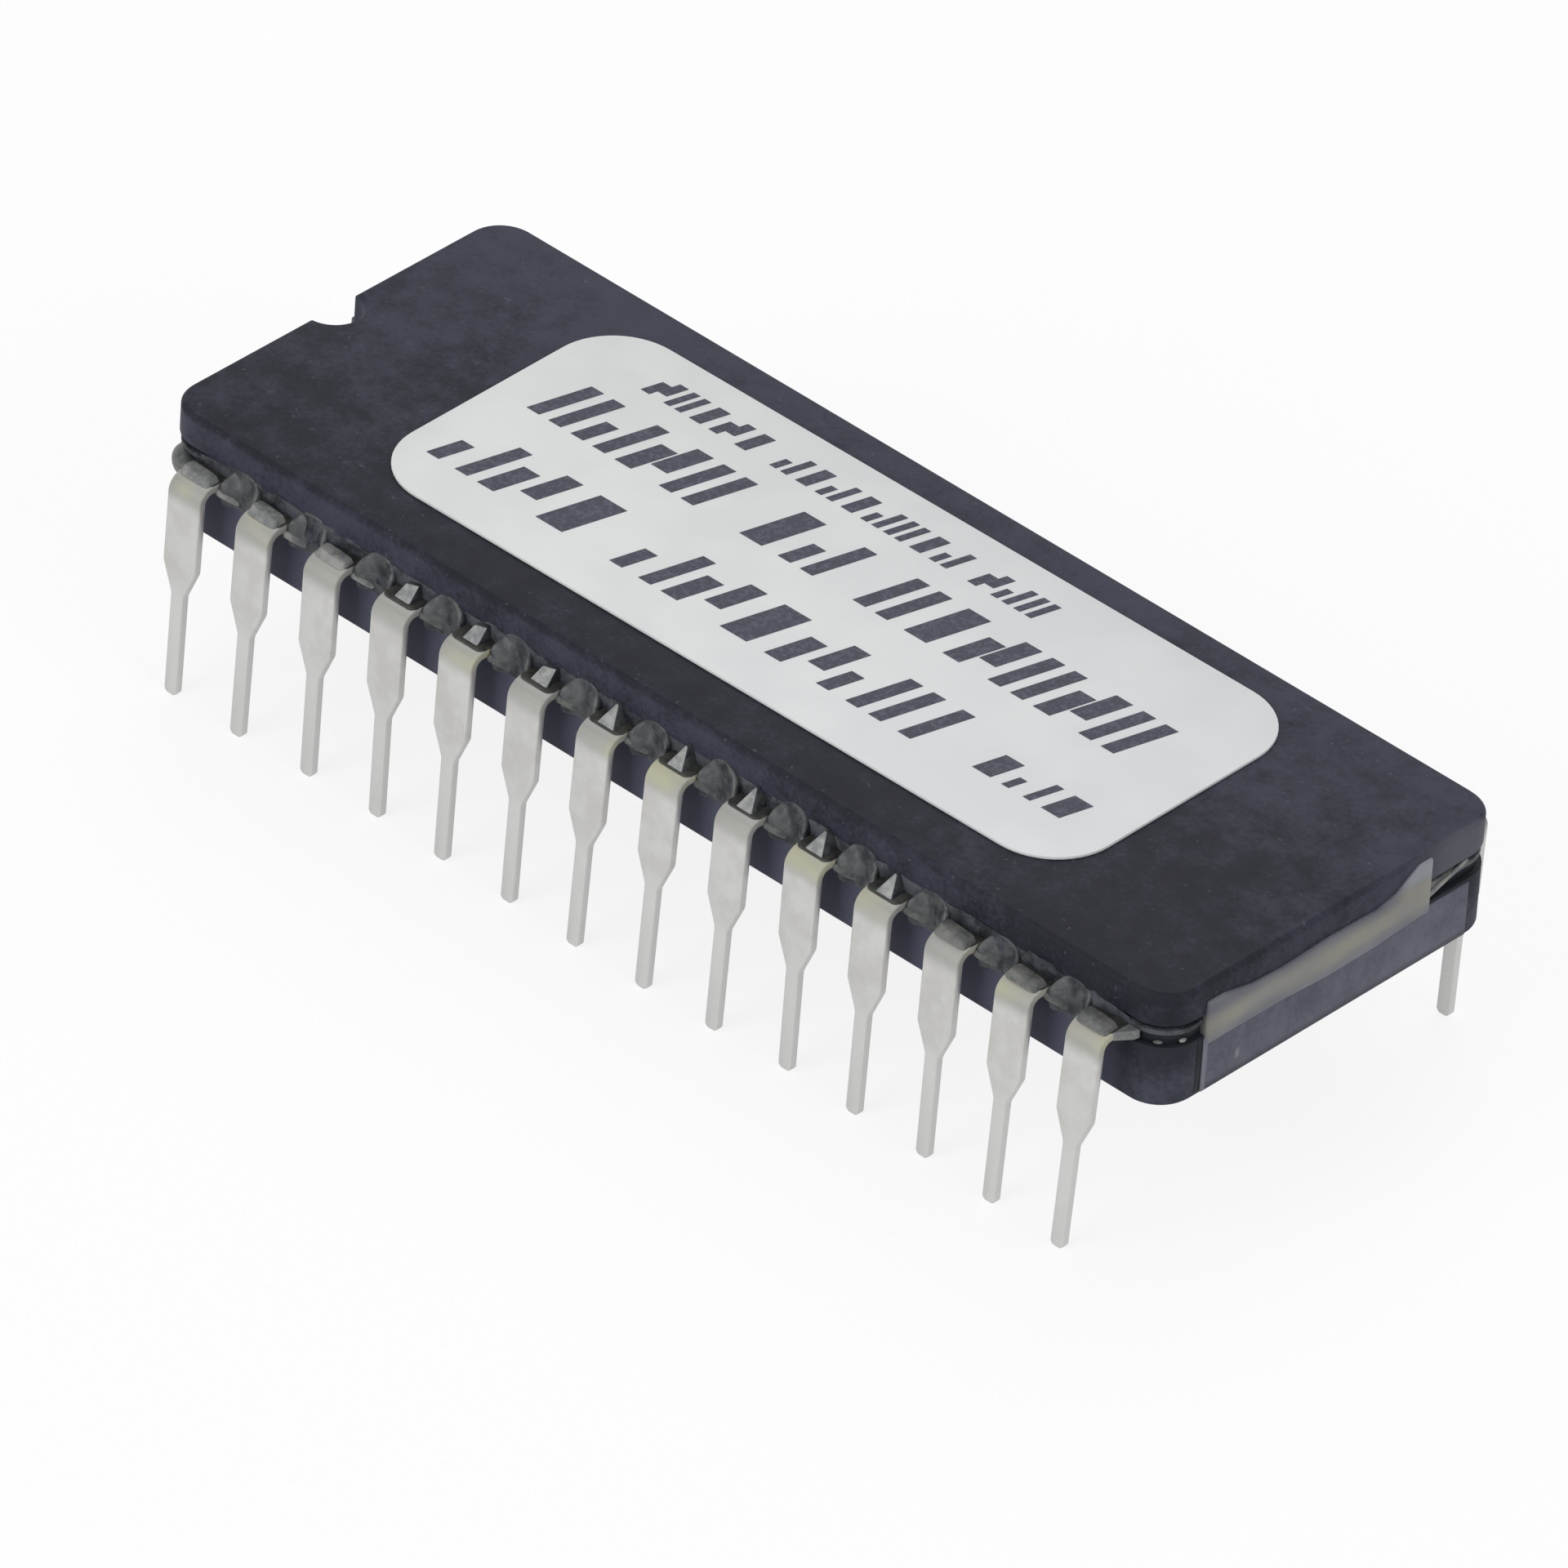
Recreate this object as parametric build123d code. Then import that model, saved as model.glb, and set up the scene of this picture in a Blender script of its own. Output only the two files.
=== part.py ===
from build123d import *
import math
import os

# A 28-lead windowed ceramic dual-in-line memory chip, in millimetres.
# +X runs along the package away from its end notch, +Z is up, and z = 0 is the plane
# of the lead tips. Lead 1 is the near-left one (-X, -Y); the count runs along the near
# row and comes back along the far row.

# Leads
leads_per_row = 14
lead_pitch = 2.54
row_span = 15.24  # over the outer faces of the two rows, at the bends
lead_thickness = 0.25
shoulder_width = 1.2
tip_width = 0.46
tip_chamfer = 0.1
bend_radius = 0.25  # inside the bend
shoulder_blend = 0.35
# How far each lead of the near row leans outwards, in degrees, as the photograph shows
near_row_lean = (1.5, 1.9, 0.9, 0.5, 1.3, 1.7, 2.6, 2.6, 2.2, 0.8, 1.5, 1.5, 2.7, 3.5)
far_row_lean = -2.0  # the far row leans inwards, all alike

# Package outline, which follows from the lead pattern
stub_reach = 1.07  # from the package's side to the outer faces of the leads
end_margin = 1.94  # from the middle of a row's last lead to the package's end
corner_radius = 1.15
notch_radius = 0.84
edge_chamfer = 0.12
lip_chamfer = 0.22  # the lid's lower edge, which the glass runs under

# Heights, built up from the lead tips
tip_length = 3.25  # narrow end of a lead, from its tip to the taper
taper_height = 0.9
board_gap = 1.3  # from the foot of the taper, which seats on the board, to the base
base_thickness = 1.95
seal_thickness = 0.5
lid_thickness = 1.21

# Lead fingers inside the seal
end_fingers = 4  # leads of each row that reach the cavity over its end wall
finger_width = 0.45
finger_tip_width = 0.32
finger_root = 0.25  # full shoulder width kept this far into the body
finger_knee = 0.55  # from the body's side to where a finger turns inwards
finger_run_in = 0.6  # straight stretch in front of the cavity
finger_setback = 0.3  # from the cavity's edge to a finger's tip

# Cavity and die
cavity_length = 8.0
cavity_depth = 0.75
side_wall = 2.75  # from the package's side to the cavity
cavity_corner = 0.4
attach_thickness = 0.05
attach_border = 0.2
die_length = 4.4
die_thickness = 0.48
die_side_gap = 1.3  # from the cavity's long side to the die
pad_inset = 0.16

# Lid and window
bond_room = 0.75  # length of finger left open for its wire
lid_recess_depth = 0.36
window_radius = 3.55

# Bond wires
wire_radius = 0.016
wire_sides = 6  # flats of a wire's section, so that its round form takes few facets
wire_runs = 4  # straight runs of its arch, for the same reason
loop_height = 0.25  # above the fingers
bond_setback = 0.3  # from a finger's tip to its wire

# Seal glass that squeezed out
seal_recess = 0.2  # the glass stands back this far between lid and base
bead_bulge = 0.18
bead_width = 1.3
bead_drop = 0.4  # below the base's upper edge
bead_rise = 0.3  # above the lid's lower edge
bead_edge = 0.1
arch_flats = 5  # flats of a bead's arch, which repeats too often for a round one
end_bead_width = 0.5  # between the last lead of a row and the package's corner
root_radius = 0.46
root_height = 0.4
root_sides = 6
band_drop = 0.17  # the same on the end faces
band_rise = 0.32
band_bulge = 0.12
band_start = -5.0
band_end = 4.1
peak_start = 2.1
peak_top = 3.5
peak_rise = 0.55  # the band's peak near its far end

# Paper label
label_length = 25.4
label_width = 10.0
label_radius = 2.05
label_thickness = 0.1
label_offset_x = -0.09
label_offset_y = 0.27
label_turn = 0.45

# Widths and lengths that follow from the ones above
body_length = (leads_per_row - 1) * lead_pitch + 2 * end_margin
body_width = row_span - 2 * stub_reach
cavity_width = body_width - 2 * side_wall
die_width = cavity_width - 2 * die_side_gap

# Levels that follow from the heights
base_bottom = tip_length + board_gap
base_top = base_bottom + base_thickness
lid_bottom = base_top + seal_thickness
lid_top = lid_bottom + lid_thickness
seal_middle = (base_top + lid_bottom) / 2
finger_bottom = seal_middle - lead_thickness / 2
finger_top = seal_middle + lead_thickness / 2
cavity_floor = base_top - cavity_depth
attach_top = cavity_floor + attach_thickness
die_top = attach_top + die_thickness
recess_ceiling = lid_bottom + lid_recess_depth
side_y = body_width / 2
end_x = body_length / 2

# Room that the glass and the lid leave over the cavity and the fingers' ends
open_length = cavity_length + 2 * (finger_setback + bond_room)
open_width = cavity_width + 2 * (finger_setback + bond_room)


def lead_x(place):
    """Place of a lead along the package; place counts from 0 at the notch end."""
    return (place - (leads_per_row - 1) / 2) * lead_pitch


def body_outline(inset=0.0):
    """Plan of the package with its end notch, drawn in by inset."""
    plan = RectangleRounded(body_length - 2 * inset, body_width - 2 * inset, corner_radius - inset)
    return plan - Pos(-end_x, 0) * Circle(notch_radius + inset)


def slab(plan, bottom, height):
    """A plan raised to a solid between two levels."""
    return Pos(0, 0, bottom) * extrude(plan, amount=height)


def ceramic_base():
    base = slab(body_outline(), base_bottom, base_thickness)
    base = chamfer(base.faces().sort_by(Axis.Z)[0].outer_wire().edges(), edge_chamfer)
    cavity = slab(RectangleRounded(cavity_length, cavity_width, cavity_corner), cavity_floor, cavity_depth)
    return base - cavity


def ceramic_lid():
    lid = slab(body_outline(), lid_bottom, lid_thickness)
    lid = chamfer(lid.faces().sort_by(Axis.Z)[-1].outer_wire().edges(), edge_chamfer)
    lid = chamfer(lid.faces().sort_by(Axis.Z)[0].outer_wire().edges(), lip_chamfer)
    recess = slab(RectangleRounded(open_length, open_width, cavity_corner), lid_bottom, lid_recess_depth)
    return lid - recess - slab(Circle(window_radius), lid_bottom, lid_thickness)


def window_glass():
    return slab(Circle(window_radius), recess_ceiling, lid_top - recess_ceiling)


def finger_target(place):
    """Tip of a near-row finger at the cavity, and the way that it points."""
    last = leads_per_row - 1
    from_end = min(place, last - place)
    side = -1 if place < leads_per_row / 2 else 1
    if from_end < end_fingers:
        step = cavity_width / (2 * end_fingers)
        tip = Vector(side * (cavity_length / 2 + finger_setback), -(from_end + 0.5) * step)
        return tip, Vector(-side, 0)
    middle_count = leads_per_row - 2 * end_fingers
    step = cavity_length / middle_count
    along = (place - end_fingers - (middle_count - 1) / 2) * step
    return Vector(along, -(cavity_width / 2 + finger_setback)), Vector(0, 1)


def ribbon(points, widths):
    """Flat strip along a line of points, with a width at each point and mitred turns."""
    left = []
    right = []
    for index, point in enumerate(points):
        before = (point - points[index - 1]).normalized() if index > 0 else None
        after = (points[index + 1] - point).normalized() if index < len(points) - 1 else None
        ahead = ((before or after) + (after or before)).normalized()
        across = Vector(-ahead.Y, ahead.X)
        square = Vector(-(after or before).Y, (after or before).X)
        reach = across * (widths[index] / 2 / across.dot(square))
        left.append(point + reach)
        right.append(point - reach)
    return make_face(Polyline(*left, *reversed(right), close=True))


def finger(place):
    """The part of a near-row lead that lies in the seal and fans in to the cavity."""
    root = Vector(lead_x(place), -side_y + finger_root)
    knee = Vector(lead_x(place), -side_y + finger_knee)
    tip, heading = finger_target(place)
    run_in = tip - heading * finger_run_in
    plan = ribbon([root, knee, run_in, tip], [shoulder_width, finger_width, finger_width, finger_tip_width])
    return slab(plan, finger_bottom, lead_thickness)


def leg(place, lean):
    """The part of a near-row lead outside the seal: stub, bend, shoulder, taper and tip."""
    middle_radius = bend_radius + lead_thickness / 2
    corner_y = -row_span / 2 + lead_thickness / 2
    reach = seal_middle + tip_length
    path = FilletPolyline(
        (0, -side_y + finger_root, seal_middle),
        (0, corner_y, seal_middle),
        (0, corner_y - reach * math.tan(math.radians(lean)), seal_middle - reach),
        radius=middle_radius,
    )
    section = Plane(origin=path @ 0, z_dir=path % 0, x_dir=(1, 0, 0)) * Rectangle(shoulder_width, lead_thickness)
    strip = sweep(section, path=path)
    shoulder = shoulder_width / 2
    narrow = tip_width / 2
    half = Polyline(
        (0, 0),
        (narrow - tip_chamfer, 0),
        (narrow, tip_chamfer),
        (narrow, tip_length),
        (shoulder, tip_length + taper_height),
        (shoulder, lid_top),
        (0, lid_top),
        close=True,
    )
    front = make_face(half)
    taper_ends = front.vertices().filter_by_position(Axis.Y, tip_length, tip_length + taper_height)
    front = fillet(taper_ends, shoulder_blend)
    front += mirror(front, Plane.YZ)
    blank = extrude(Plane.XZ * front, amount=row_span, both=True)
    return Pos(lead_x(place), 0, 0) * (strip & blank)


def near_lead(place, lean):
    return leg(place, lean) + finger(place)


def all_leads():
    """All the leads by number, the far row as the near row turned over."""
    leads = {}
    for place in range(leads_per_row):
        leads[place + 1] = near_lead(place, near_row_lean[place % len(near_row_lean)])
        far = mirror(near_lead(place, far_row_lean), Plane.XZ)
        leads[2 * leads_per_row - place] = far
    return leads


def bead(middle, width):
    """Glass squeezed out beside a lead: an arched pad over the seam, with sloping edges."""
    foot = base_top - bead_drop
    springing = lid_bottom + bead_rise - width / 2
    arch = []
    for flat in range(arch_flats + 1):
        turn = math.pi * flat / arch_flats
        arch.append((width / 2 * math.cos(turn), springing + width / 2 * math.sin(turn)))
    outline = make_face(Polyline((width / 2, foot), *arch, (-width / 2, foot), close=True))
    depth = seal_recess + bead_edge
    slope = math.degrees(math.atan(bead_edge / bead_bulge))
    pad = Pos(0, 0, -depth) * extrude(outline, amount=depth) + extrude(outline, amount=bead_bulge, taper=slope)
    return Pos(middle, 0, 0) * Plane.XZ.offset(side_y) * pad


def row_beads():
    """The pads of the near row: one between each two leads and one at each end."""
    last = leads_per_row - 1
    beads = [bead((lead_x(place) + lead_x(place + 1)) / 2, bead_width) for place in range(last)]
    beyond = lead_x(last) + (shoulder_width + end_bead_width) / 2
    return beads + [bead(-beyond, end_bead_width), bead(beyond, end_bead_width)]


def root_peak(place):
    """Glass that climbs from a lead's root up the lid's side."""
    slope = math.degrees(math.atan((root_radius - bead_edge / 2) / root_height))
    foot = Pos(lead_x(place), -side_y, finger_top) * RegularPolygon(root_radius, root_sides)
    return extrude(foot, amount=root_height, taper=slope)


def end_band(peaked):
    """Glass along an end face, with the peak that the photograph shows at its far end."""
    foot = base_top - band_drop
    crest = lid_bottom + band_rise
    outline = [(band_start, foot), (band_end, foot), (band_end, crest)]
    if peaked:
        outline += [(band_end, crest + peak_rise / 2), (peak_top, crest + peak_rise), (peak_start, crest)]
    outline += [(band_start, crest)]
    face = make_face(Polyline(*outline, close=True))
    face = fillet(face.vertices(), bead_edge)
    start = end_x - seal_recess - bead_edge
    band = extrude(Plane.YZ.offset(start) * face, amount=end_x + band_bulge - start)
    return chamfer(band.faces().sort_by(Axis.X)[-1].outer_wire().edges(), bead_edge / 2)


def seal_glass(base, lid, leads):
    """The fused glass layer that holds the leads, with its cavity and its squeeze-out."""
    lower = body_outline(seal_recess) - RectangleRounded(
        cavity_length + seal_recess, cavity_width + seal_recess, cavity_corner
    )
    upper = body_outline(seal_recess) - RectangleRounded(open_length, open_width, cavity_corner)
    glass = slab(lower, base_top, seal_middle - base_top) + slab(upper, seal_middle, lid_bottom - seal_middle)
    outside = row_beads() + [root_peak(place) for place in range(leads_per_row)]
    outside += [mirror(piece, Plane.XZ) for piece in outside]
    outside.append(end_band(True))
    outside.append(mirror(end_band(False), Plane.YZ) - slab(Pos(-end_x, 0) * Circle(notch_radius), 0, lid_top))
    glass = glass.fuse(*outside)
    return glass.cut(base, lid, *leads.values())


def silicon_die():
    return slab(Rectangle(die_length, die_width), attach_top, die_thickness)


def die_attach():
    return slab(
        Rectangle(die_length + attach_border, die_width + attach_border), cavity_floor, attach_thickness
    )


def bond_wire(place):
    """A wire from a pad on the die to the open end of a near-row finger."""
    tip, heading = finger_target(place)
    landing = tip - heading * bond_setback
    if heading.X:
        pad_y = tip.Y * (die_width - 2 * pad_inset) / cavity_width
        pad = Vector(-heading.X * (die_length / 2 - pad_inset), pad_y)
    else:
        pad_x = tip.X * (die_length - 2 * pad_inset) / cavity_length
        pad = Vector(pad_x, -(die_width / 2 - pad_inset))
    crest = (pad + landing) / 2
    arch = ThreePointArc(
        (pad.X, pad.Y, die_top + wire_radius),
        (crest.X, crest.Y, finger_top + loop_height),
        (landing.X, landing.Y, finger_top + wire_radius),
    )
    path = Polyline(*[arch @ (run / wire_runs) for run in range(wire_runs + 1)])
    section = Plane(origin=path @ 0, z_dir=path % 0) * RegularPolygon(wire_radius, wire_sides)
    return sweep(section, path=path, transition=Transition.RIGHT)


def bond_wires():
    near = [bond_wire(place) for place in range(leads_per_row)]
    return Compound(children=near + [mirror(wire, Plane.XZ) for wire in near])


def paper_label():
    sheet = RectangleRounded(label_length, label_width, label_radius)
    return Pos(label_offset_x, label_offset_y, 0) * Rot(0, 0, label_turn) * slab(sheet, lid_top, label_thickness)


def build_parts():
    parts = {}
    parts["ceramic_base"] = ceramic_base()
    parts["ceramic_lid"] = ceramic_lid()
    parts["window_glass"] = window_glass()
    leads = all_leads()
    parts["seal_glass"] = seal_glass(parts["ceramic_base"], parts["ceramic_lid"], leads)
    parts["silicon_die"] = silicon_die()
    parts["die_attach"] = die_attach()
    parts["bond_wires"] = bond_wires()
    parts["paper_label"] = paper_label()
    for number in sorted(leads):
        parts[f"lead_{number:02d}"] = leads[number]
    return parts


os.makedirs("parts", exist_ok=True)
for name, part in build_parts().items():
    export_step(part, f"parts/{name}.step")
    print(name, "volume", round(part.volume, 4))
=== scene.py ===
# %% [markdown]
# # Dressing a windowed memory chip in Blender
#
# The real object is a memory chip of the kind that is erased with ultraviolet light. Two slabs of
# dark pressed ceramic are fused together by a seam of glass, and the glass grips 28 stamped leads of
# tinned nickel-iron. A round window lies under a paper label. The solids come from the CAD model, and
# this file gives them their looks: rounded edges, poured glass, metal, paper and ink.
#
# Everything is in metres. The places below are written in millimetres and multiplied by `mm`,
# because nobody thinks of a chip as 0.0369 long.

# %% Load the frame
import bpy
import bmesh
import math
import random
from mathutils import Matrix, Vector


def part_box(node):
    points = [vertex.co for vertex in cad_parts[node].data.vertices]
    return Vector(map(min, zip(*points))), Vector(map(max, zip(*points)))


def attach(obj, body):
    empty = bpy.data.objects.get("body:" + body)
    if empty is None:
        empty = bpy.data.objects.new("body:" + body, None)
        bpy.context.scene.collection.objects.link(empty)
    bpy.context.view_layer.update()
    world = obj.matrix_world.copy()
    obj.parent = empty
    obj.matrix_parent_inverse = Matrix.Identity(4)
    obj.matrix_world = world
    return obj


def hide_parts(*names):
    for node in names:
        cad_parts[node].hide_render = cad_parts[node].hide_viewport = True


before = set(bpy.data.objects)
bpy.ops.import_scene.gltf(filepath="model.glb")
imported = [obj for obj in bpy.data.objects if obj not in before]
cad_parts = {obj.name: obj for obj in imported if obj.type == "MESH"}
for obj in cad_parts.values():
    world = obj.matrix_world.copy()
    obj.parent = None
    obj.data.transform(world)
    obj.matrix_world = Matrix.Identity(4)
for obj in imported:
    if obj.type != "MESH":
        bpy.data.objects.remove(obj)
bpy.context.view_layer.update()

mm = 0.001

# %% [markdown]
# ## Sizes taken from the frame
#
# A dressed piece has to sit where the CAD says, so the levels and sides of the two ceramic slabs are
# read from their boxes and not typed in again. A box says nothing of a radius or a lead, so those few
# sizes are written down. The pitch is a tenth of an inch, as on all such packages.

# %% Read the package's own sizes
base_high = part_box("ceramic_base")[1] / mm
lid_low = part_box("ceramic_lid")[0] / mm
label_low, label_high = (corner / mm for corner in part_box("paper_label"))
lead_pitch = 2.54
leads_per_row = 14
shoulder = 1.2           # width of a lead's wide part
stub_top = 6.875         # upper face of a lead where it leaves the glass
corner_radius = 1.15     # of the package, seen from above
notch_radius = 0.84
side = base_high.y       # the long side faces stand at -side and +side
end = base_high.x        # the end faces stand at -end and +end
rows = (("near", False), ("far", True))      # a row's name, and whether its pieces are turned round
far_row = Matrix.Rotation(math.pi, 4, "Z")   # turns a piece of the near row to the far one
print("side", round(side, 3), "end", round(end, 3), "seam", round(base_high.z, 3), round(lid_low.z, 3))


def lead_x(place):
    """Place of a lead along the row; place counts from 0 at the notched end."""
    return (place - (leads_per_row - 1) / 2) * lead_pitch


# %% [markdown]
# ## Camera
#
# The photograph was taken from far away with a long lens, from the chip's near right corner and a
# little over a third of the way up, and the camera was tilted by four degrees. The chip's known lead
# pitch gives the distance: lines drawn along the two rows in the photograph almost stay parallel,
# which needs about 0.6 m and a 511 mm lens.

# %% Set up the camera
azimuth = math.radians(41.063)
elevation = math.radians(36.06)
tilt = math.radians(4.074)
aim = Vector((-1.257, 0.212, 1.354)) * mm
ahead = Vector((
    -math.sin(azimuth) * math.cos(elevation), math.cos(azimuth) * math.cos(elevation), -math.sin(elevation)
))
distance = 598.783
bpy.ops.object.camera_add(location=aim - ahead * distance * mm)
camera = bpy.context.object
camera.name = "photo_camera"
view = ahead.to_track_quat("-Z", "Y").to_matrix() @ Matrix.Rotation(tilt, 3, "Z")
camera.rotation_euler = view.to_euler()
camera.data.sensor_width = 36
camera.data.lens = 511.4
camera.data.clip_start = 0.01
bpy.context.scene.camera = camera
bpy.context.scene.view_settings.view_transform = "Standard"
print("camera at", [round(value, 4) for value in camera.location])

# %% [markdown]
# ## Working with a mesh in code
#
# The pieces below are made with the same operators as by hand: add a primitive, go into edit mode,
# select something, change it. By hand one clicks on a face. In code a face is found by where it is
# and which way it looks, so a few helpers do that, and take places in millimetres.

# %% Helpers for picking and shaping
def pick_nothing():
    """Leaves edit mode and selects nothing, so that an operator acts only on what comes next."""
    if bpy.context.mode != "OBJECT":
        bpy.ops.object.mode_set(mode="OBJECT")
    bpy.ops.object.select_all(action="DESELECT")


def pick(piece):
    """Makes one object the selected and active one, in object mode."""
    pick_nothing()
    piece.select_set(True)
    bpy.context.view_layer.objects.active = piece


def choose(piece, kind, test):
    """Enters edit mode and selects the parts of one kind (VERT, EDGE or FACE) that pass a test."""
    pick(piece)
    bpy.ops.object.mode_set(mode="EDIT")
    bpy.ops.mesh.select_mode(type=kind)
    bpy.ops.mesh.select_all(action="DESELECT")
    shape = bmesh.from_edit_mesh(piece.data)
    for part in {"VERT": shape.verts, "EDGE": shape.edges, "FACE": shape.faces}[kind]:
        part.select = test(part)
    shape.select_flush_mode()
    bmesh.update_edit_mesh(piece.data)


def choose_points(piece, test):
    """Selects the vertices whose place in millimetres passes a test."""
    choose(piece, "VERT", lambda vert: test(vert.co / mm))


def choose_edges(piece, test):
    """Selects the edges whose middle (millimetres) and direction pass a test."""
    def passes(edge):
        """Works out where an edge is and which way it runs, and puts both to the test."""
        start, stop = (vert.co / mm for vert in edge.verts)
        return test((start + stop) / 2, (stop - start).normalized())

    choose(piece, "EDGE", passes)


def choose_faces(piece, test):
    """Selects the faces whose middle (millimetres) and normal pass a test."""
    choose(piece, "FACE", lambda face: test(face.calc_center_median() / mm, face.normal))


def move(x=0.0, y=0.0, z=0.0):
    """Moves what is selected by so many millimetres."""
    bpy.ops.transform.translate(value=(x * mm, y * mm, z * mm))


def stretch(x, y, z, about):
    """Scales what is selected about a point given in millimetres."""
    bpy.ops.transform.resize(value=(x, y, z), center_override=Vector(about) * mm)


# %% [markdown]
# A modifier is added and applied at once, so what a piece looks like is always its real mesh. A new
# primitive gets its size and place in that mesh too, and its object stays at the origin, unturned, as
# the CAD nodes do. A pattern on Object coordinates then lies still on every piece.

# %% Helpers for finishing a piece
def block(name, low, high):
    """A cube primitive stretched between two corners, with its place in its mesh."""
    low, high = Vector(low), Vector(high)
    pick_nothing()
    bpy.ops.mesh.primitive_cube_add(size=1, location=(low + high) / 2 * mm)
    piece = bpy.context.object
    piece.name = name
    piece.scale = (high - low) * mm
    bpy.ops.object.transform_apply(location=True, rotation=True, scale=True)
    return piece


def rod(name, radius, start, stop, vertices=32):
    """A cylinder primitive between two points, with its place in its mesh."""
    start, stop = Vector(start), Vector(stop)
    pick_nothing()
    bpy.ops.mesh.primitive_cylinder_add(
        vertices=vertices,
        radius=radius * mm,
        depth=(stop - start).length * mm,
        location=(start + stop) / 2 * mm,
        rotation=(stop - start).to_track_quat("Z", "Y").to_euler(),
    )
    piece = bpy.context.object
    piece.name = name
    bpy.ops.object.transform_apply(location=True, rotation=True, scale=True)
    return piece


def modify(piece, kind, **settings):
    """Adds a modifier, sets it up and applies it at once."""
    pick(piece)
    change = piece.modifiers.new(kind.lower(), kind)
    for name, value in settings.items():
        setattr(change, name, value)
    bpy.ops.object.modifier_apply(modifier=change.name)


def round_edges(piece, width, segments=3, angle=30):
    """Rounds every edge that is sharper than an angle, as tumbling or firing does."""
    modify(piece, "BEVEL", width=width * mm, segments=segments, limit_method="ANGLE",
           angle_limit=math.radians(angle), harden_normals=False)


def soften(piece, levels=2):
    """Subdivides a piece to a smooth surface."""
    modify(piece, "SUBSURF", levels=levels, render_levels=levels)


def carve(piece, tool):
    """Cuts another object out of a piece, and throws that object away."""
    modify(piece, "BOOLEAN", operation="DIFFERENCE", solver="EXACT", object=tool)
    bpy.data.objects.remove(tool)


def smooth(piece, angle=40):
    """Shades a piece as smooth, apart from edges that are sharper than an angle."""
    pick(piece)
    bpy.ops.object.shade_smooth_by_angle(angle=math.radians(angle))


def merged_copy(node, name):
    """A copy of a CAD node whose loose triangles are joined and whose flat faces are whole."""
    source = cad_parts[node]
    piece = source.copy()
    piece.data = source.data.copy()
    piece.name = name
    bpy.context.collection.objects.link(piece)
    piece.parent = None
    pick(piece)
    bpy.ops.object.mode_set(mode="EDIT")
    bpy.ops.mesh.select_all(action="SELECT")
    bpy.ops.mesh.remove_doubles(threshold=0.0005 * mm)
    bpy.ops.mesh.dissolve_limited(angle_limit=math.radians(0.5))
    bpy.ops.object.mode_set(mode="OBJECT")
    return piece


def grown(point, x=1.0, y=1.0, z=1.0):
    """A matrix that scales about a point given in millimetres."""
    there = Matrix.Translation(Vector(point) * mm)
    return there @ Matrix.Diagonal((x, y, z, 1)) @ there.inverted()


def put_copy(master, name, place, turned=False):
    """Another of a repeated shape, with its own mesh; turned puts it on the far row."""
    piece = master.copy()
    piece.data = master.data.copy()
    piece.name = name
    bpy.context.collection.objects.link(piece)
    piece.data.transform(far_row @ place if turned else place)
    return piece


def dress(piece, material, slot, *nodes):
    """Gives a piece its material, lets it ride on the chip, and hides the CAD nodes it stands for."""
    piece.data.materials.clear()
    piece.data.materials.append(material)
    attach(piece, "root")
    if nodes:
        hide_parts(*nodes)


# %% [markdown]
# ## Light
#
# A catalogue photograph like this one is lit by large soft boxes in a white room. Two things follow:
# shadows are faint, and everything shiny mirrors white. Small lamps would give hard sparkles that the
# photograph hasn't, so the lamps here are large squares, and the world adds an even white glow.
# The level is plain: a surface comes out about as bright as its colour says.

# %% The lamps
def lamp(name, place, size, power, tint=(1, 1, 1)):
    """A square soft box that looks at the chip; place in metres."""
    bpy.ops.object.light_add(type="AREA", location=place)
    box = bpy.context.object
    box.name = name
    box.data.size = size
    box.data.energy = power
    box.data.color = tint
    box.rotation_euler = (-Vector(place)).to_track_quat("-Z", "Y").to_euler()
    return box


pick_nothing()
lamp("soft_box_back", (-0.22, 0.42, 0.50), 0.45, 1.3)
lamp("soft_box_right", (0.55, -0.02, 0.30), 0.35, 1.0)
lamp("soft_box_front", (-0.10, -0.58, 0.30), 0.40, 2.2)

# %% [markdown]
# ## Building materials as arithmetic
#
# A Blender material is a graph of nodes. Wiring it by hand hides the idea behind it, such as "mottle
# times a half plus speckle". The class `Signal` wraps a node's output so that Python's own
# operators add the Math nodes, and `Finish` adds any other node with one method.

# %% The Signal and Finish classes
class Signal:
    """The output of a node, which can be used in arithmetic."""

    def __init__(self, finish, socket):
        self.finish = finish
        self.socket = socket

    def __add__(self, other):
        return self.finish.math("ADD", self, other)

    def __radd__(self, other):
        return self.finish.math("ADD", other, self)

    def __sub__(self, other):
        return self.finish.math("SUBTRACT", self, other)

    def __rsub__(self, other):
        return self.finish.math("SUBTRACT", other, self)

    def __mul__(self, other):
        return self.finish.math("MULTIPLY", self, other)

    def __rmul__(self, other):
        return self.finish.math("MULTIPLY", other, self)


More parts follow.
